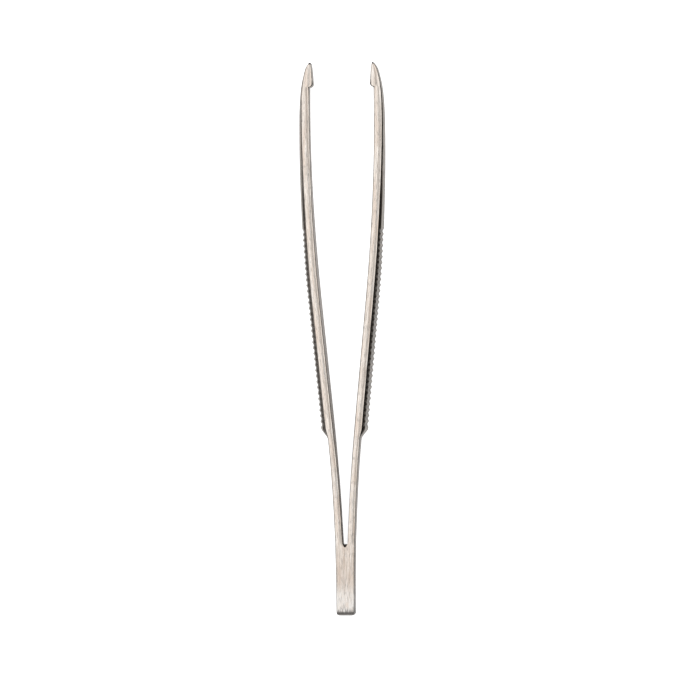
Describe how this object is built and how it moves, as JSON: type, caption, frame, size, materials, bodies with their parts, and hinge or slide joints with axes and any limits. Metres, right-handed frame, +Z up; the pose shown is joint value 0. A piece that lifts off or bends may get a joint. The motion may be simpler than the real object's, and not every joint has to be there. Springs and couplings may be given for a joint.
{
  "type": "stamp tongs",
  "caption": "Plain steel stamp tongs: sprung arms welded at the tail, ribbed grips on their outer faces and stepped spade jaws; the arms flex together to close.",
  "frame": {"origin": "Middle of the open tongs in X and Y, on the surface that they lie on: they rest on the edges of the grips, on one side.", "axes": "+Y points along the tongs from the tail to the jaw tips, +X towards the right arm, +Z up, across the width of the arms, parallel to both flexure axes."},
  "size_m": [0.0186, 0.12, 0.0082],
  "materials": {
    "steel": "satin, ground and brushed along the arms",
    "weld": "ground flush with the tail"
  },
  "bodies": {
    "tail": {"left_tail": "steel", "right_tail": "steel", "tail_weld": "weld"},
    "left_arm": {"left_arm": "steel"},
    "right_arm": {"right_arm": "steel"}
  },
  "joints": [
    {"name": "left_arm_flex", "type": "hinge", "parent": "tail", "child": "left_arm", "pos_m": [-0.00183, -0.0344, 0.0041], "axis": [0, 0, -1], "range_deg": [0, 3.9], "stiffness_Nm_per_rad": 4},
    {"name": "right_arm_flex", "type": "hinge", "parent": "tail", "child": "right_arm", "pos_m": [0.00183, -0.0344, 0.0041], "axis": [0, 0, 1], "range_deg": [0, 3.9], "stiffness_Nm_per_rad": 4}
  ]
}
